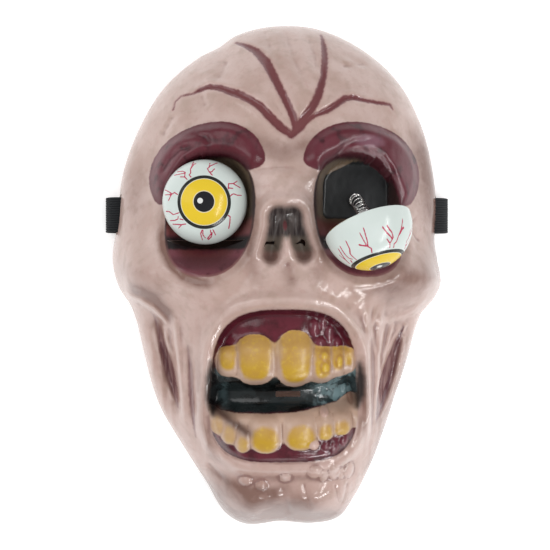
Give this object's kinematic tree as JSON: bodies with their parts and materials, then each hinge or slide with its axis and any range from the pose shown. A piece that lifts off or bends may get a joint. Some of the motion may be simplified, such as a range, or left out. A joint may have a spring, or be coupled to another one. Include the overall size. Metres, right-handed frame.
{
  "type": "zombie mask",
  "caption": "Moulded plastic full-face zombie mask with half-ball eyes on coil springs and an elastic head strap.",
  "frame": {"origin": "centre of the bounding box, at the plane of the rim that the mask lies on", "axes": "+Z out of the face, +Y to the top of the head, +X to the viewer's right"},
  "size_m": [0.1794, 0.2623, 0.0995],
  "materials": {
    "painted_shell": "thin moulded plastic, airbrushed skin colour with wine red, black and yellow paint",
    "eye_plastic": "gloss white plastic with a printed yellow iris and red vessels",
    "spring_steel": "drawn steel wire",
    "black_elastic": "woven black elastic webbing"
  },
  "bodies": {
    "mask": {"mask_shell": "painted_shell", "elastic_strap": "black_elastic", "left_eye_spring": "spring_steel", "right_eye_spring": "spring_steel"},
    "left_eye": {"left_eyeball": "eye_plastic"},
    "right_eye": {"right_eyeball": "eye_plastic"}
  },
  "joints": [
    {"name": "left_eye_pull", "type": "slide", "parent": "mask", "child": "left_eye", "axis": [0, 0, 1], "range_m": [0, 0.022], "stiffness_N_per_m": 8, "deforming": ["left_eye_spring"]},
    {"name": "right_eye_bob", "type": "hinge", "parent": "mask", "child": "right_eye", "pos_m": [0.0375, 0.0315, 0.0705], "axis": [-0.9522, -0.3055, 0], "range_deg": [0, 65], "stiffness_Nm_per_rad": 0.004, "deforming": ["right_eye_spring"]}
  ]
}
